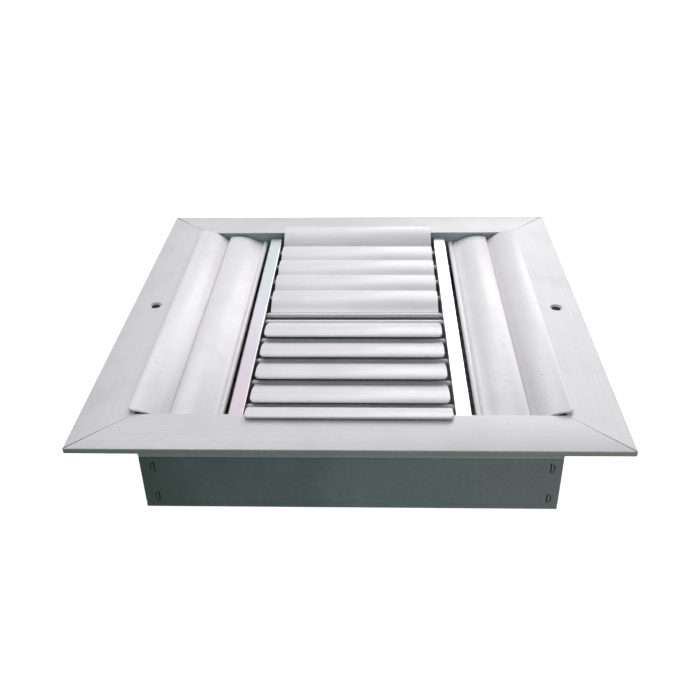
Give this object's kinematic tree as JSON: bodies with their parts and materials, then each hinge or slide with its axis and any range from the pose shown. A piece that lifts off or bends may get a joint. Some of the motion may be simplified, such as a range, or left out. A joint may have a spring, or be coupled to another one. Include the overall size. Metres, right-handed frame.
{
  "type": "louvred air register",
  "caption": "Square ceiling register: curved louvre blades in front, back, left and right banks in a mitred flanged frame, over an opposed-blade damper.",
  "frame": {"origin": "middle of the square outline, at the lower edge of the damper frame that the register stands on", "axes": "+Z out of the face, against the duct; X along the centre blades; -Y to the front bank"},
  "size_m": [0.3048, 0.3048, 0.0711],
  "materials": {
    "face_paint": "satin white powder coat with faint lines along the extrusion",
    "blade_paint": "soft-gloss white powder coat",
    "bar_aluminium": "bright smooth aluminium",
    "damper_paint": "dull grey coated aluminium",
    "zinc_steel": "bright zinc plate"
  },
  "bodies": {
    "register_frame": {"rail_front": "face_paint", "rail_back": "face_paint", "rail_left": "face_paint", "rail_right": "face_paint", "corner_key_front_left": "zinc_steel", "corner_key_front_right": "zinc_steel", "corner_key_back_left": "zinc_steel", "corner_key_back_right": "zinc_steel", "divider_bar_left": "bar_aluminium", "divider_bar_right": "bar_aluminium", "bar_screw_front_left": "zinc_steel", "bar_screw_front_right": "zinc_steel", "bar_screw_back_left": "zinc_steel", "bar_screw_back_right": "zinc_steel", "damper_rail_front": "damper_paint", "damper_rail_back": "damper_paint", "damper_rail_left": "damper_paint", "damper_rail_right": "damper_paint", "damper_clip_front_left": "zinc_steel", "damper_clip_front_right": "zinc_steel", "damper_clip_back_left": "zinc_steel", "damper_clip_back_right": "zinc_steel"},
    "louvre_front_1": {"blade_front_1": "blade_paint", "rod_front_1": "zinc_steel"},
    "louvre_front_2": {"blade_front_2": "blade_paint", "rod_front_2": "zinc_steel"},
    "louvre_front_3": {"blade_front_3": "blade_paint", "rod_front_3": "zinc_steel"},
    "louvre_front_4": {"blade_front_4": "blade_paint", "rod_front_4": "zinc_steel"},
    "louvre_front_5": {"blade_front_5": "blade_paint", "rod_front_5": "zinc_steel"},
    "louvre_back_1": {"blade_back_1": "blade_paint", "rod_back_1": "zinc_steel"},
    "louvre_back_2": {"blade_back_2": "blade_paint", "rod_back_2": "zinc_steel"},
    "louvre_back_3": {"blade_back_3": "blade_paint", "rod_back_3": "zinc_steel"},
    "louvre_back_4": {"blade_back_4": "blade_paint", "rod_back_4": "zinc_steel"},
    "louvre_back_5": {"blade_back_5": "blade_paint", "rod_back_5": "zinc_steel"},
    "louvre_left_inner": {"blade_left_inner": "blade_paint", "rod_left_inner": "zinc_steel"},
    "louvre_left_outer": {"blade_left_outer": "blade_paint", "rod_left_outer": "zinc_steel"},
    "louvre_right_inner": {"blade_right_inner": "blade_paint", "rod_right_inner": "zinc_steel"},
    "louvre_right_outer": {"blade_right_outer": "blade_paint", "rod_right_outer": "zinc_steel"},
    "damper_link": {"damper_link_bar": "zinc_steel"},
    "damper_vane_1": {"damper_blade_1": "damper_paint"},
    "damper_vane_2": {"damper_blade_2": "damper_paint"},
    "damper_vane_3": {"damper_blade_3": "damper_paint"},
    "damper_vane_4": {"damper_blade_4": "damper_paint"},
    "damper_vane_5": {"damper_blade_5": "damper_paint"},
    "damper_vane_6": {"damper_blade_6": "damper_paint"},
    "damper_vane_7": {"damper_blade_7": "damper_paint"},
    "damper_vane_8": {"damper_blade_8": "damper_paint"}
  },
  "joints": [
    {"name": "louvre_front_1_pivot", "type": "hinge", "parent": "register_frame", "child": "louvre_front_1", "pos_m": [0, -0.0046, 0.0591], "axis": [-1, 0, 0], "range_deg": [-2, 45]},
    {"name": "louvre_front_2_pivot", "type": "hinge", "parent": "register_frame", "child": "louvre_front_2", "pos_m": [0, -0.02885, 0.0591], "axis": [-1, 0, 0], "range_deg": [-2, 32]},
    {"name": "louvre_front_3_pivot", "type": "hinge", "parent": "register_frame", "child": "louvre_front_3", "pos_m": [0, -0.0531, 0.0591], "axis": [-1, 0, 0], "range_deg": [-2, 32]},
    {"name": "louvre_front_4_pivot", "type": "hinge", "parent": "register_frame", "child": "louvre_front_4", "pos_m": [0, -0.07735, 0.0591], "axis": [-1, 0, 0], "range_deg": [-2, 32]},
    {"name": "louvre_front_5_pivot", "type": "hinge", "parent": "register_frame", "child": "louvre_front_5", "pos_m": [0, -0.1016, 0.0591], "axis": [-1, 0, 0], "range_deg": [-1.5, 20]},
    {"name": "louvre_back_1_pivot", "type": "hinge", "parent": "register_frame", "child": "louvre_back_1", "pos_m": [0, 0.0046, 0.0591], "axis": [1, 0, 0], "range_deg": [-1, 45]},
    {"name": "louvre_back_2_pivot", "type": "hinge", "parent": "register_frame", "child": "louvre_back_2", "pos_m": [0, 0.02885, 0.0591], "axis": [1, 0, 0], "range_deg": [-1, 32]},
    {"name": "louvre_back_3_pivot", "type": "hinge", "parent": "register_frame", "child": "louvre_back_3", "pos_m": [0, 0.0531, 0.0591], "axis": [1, 0, 0], "range_deg": [-1, 32]},
    {"name": "louvre_back_4_pivot", "type": "hinge", "parent": "register_frame", "child": "louvre_back_4", "pos_m": [0, 0.07735, 0.0591], "axis": [1, 0, 0], "range_deg": [-1, 32]},
    {"name": "louvre_back_5_pivot", "type": "hinge", "parent": "register_frame", "child": "louvre_back_5", "pos_m": [0, 0.1016, 0.0591], "axis": [1, 0, 0], "range_deg": [-1.5, 20]},
    {"name": "louvre_left_inner_pivot", "type": "hinge", "parent": "register_frame", "child": "louvre_left_inner", "pos_m": [-0.0745, 0, 0.0591], "axis": [0, 1, 0], "range_deg": [-2, 45]},
    {"name": "louvre_left_outer_pivot", "type": "hinge", "parent": "register_frame", "child": "louvre_left_outer", "pos_m": [-0.0992, 0, 0.0591], "axis": [0, 1, 0], "range_deg": [-1.5, 20]},
    {"name": "louvre_right_inner_pivot", "type": "hinge", "parent": "register_frame", "child": "louvre_right_inner", "pos_m": [0.0745, 0, 0.0591], "axis": [0, -1, 0], "range_deg": [-2, 45]},
    {"name": "louvre_right_outer_pivot", "type": "hinge", "parent": "register_frame", "child": "louvre_right_outer", "pos_m": [0.0992, 0, 0.0591], "axis": [0, -1, 0], "range_deg": [-1.5, 20]},
    {"name": "damper_link_slide", "type": "slide", "parent": "register_frame", "child": "damper_link", "axis": [0, -1, 0], "range_m": [0, 0.01081]},
    {"name": "damper_vane_1_pivot", "type": "hinge", "parent": "register_frame", "child": "damper_vane_1", "pos_m": [0, -0.10658, 0.01905], "axis": [1, 0, 0], "range_deg": [-0.5, 85.5]},
    {"name": "damper_vane_2_pivot", "type": "hinge", "parent": "register_frame", "child": "damper_vane_2", "pos_m": [0, -0.07612, 0.01905], "axis": [-1, 0, 0], "range_deg": [-0.5, 85.5]},
    {"name": "damper_vane_3_pivot", "type": "hinge", "parent": "register_frame", "child": "damper_vane_3", "pos_m": [0, -0.04568, 0.01905], "axis": [1, 0, 0], "range_deg": [-0.5, 85.5]},
    {"name": "damper_vane_4_pivot", "type": "hinge", "parent": "register_frame", "child": "damper_vane_4", "pos_m": [0, -0.01523, 0.01905], "axis": [-1, 0, 0], "range_deg": [-0.5, 85.5]},
    {"name": "damper_vane_5_pivot", "type": "hinge", "parent": "register_frame", "child": "damper_vane_5", "pos_m": [0, 0.01523, 0.01905], "axis": [1, 0, 0], "range_deg": [-0.5, 85.5]},
    {"name": "damper_vane_6_pivot", "type": "hinge", "parent": "register_frame", "child": "damper_vane_6", "pos_m": [0, 0.04568, 0.01905], "axis": [-1, 0, 0], "range_deg": [-0.5, 85.5]},
    {"name": "damper_vane_7_pivot", "type": "hinge", "parent": "register_frame", "child": "damper_vane_7", "pos_m": [0, 0.07612, 0.01905], "axis": [1, 0, 0], "range_deg": [-0.5, 85.5]},
    {"name": "damper_vane_8_pivot", "type": "hinge", "parent": "register_frame", "child": "damper_vane_8", "pos_m": [0, 0.10658, 0.01905], "axis": [-1, 0, 0], "range_deg": [-0.5, 85.5]}
  ],
  "couplings": [
    {"joint": "damper_vane_1_pivot", "follows": "damper_link_slide", "rad_per_m": 137.24},
    {"joint": "damper_vane_2_pivot", "follows": "damper_link_slide", "rad_per_m": 137.24},
    {"joint": "damper_vane_3_pivot", "follows": "damper_link_slide", "rad_per_m": 137.24},
    {"joint": "damper_vane_4_pivot", "follows": "damper_link_slide", "rad_per_m": 137.24},
    {"joint": "damper_vane_5_pivot", "follows": "damper_link_slide", "rad_per_m": 137.24},
    {"joint": "damper_vane_6_pivot", "follows": "damper_link_slide", "rad_per_m": 137.24},
    {"joint": "damper_vane_7_pivot", "follows": "damper_link_slide", "rad_per_m": 137.24},
    {"joint": "damper_vane_8_pivot", "follows": "damper_link_slide", "rad_per_m": 137.24}
  ]
}
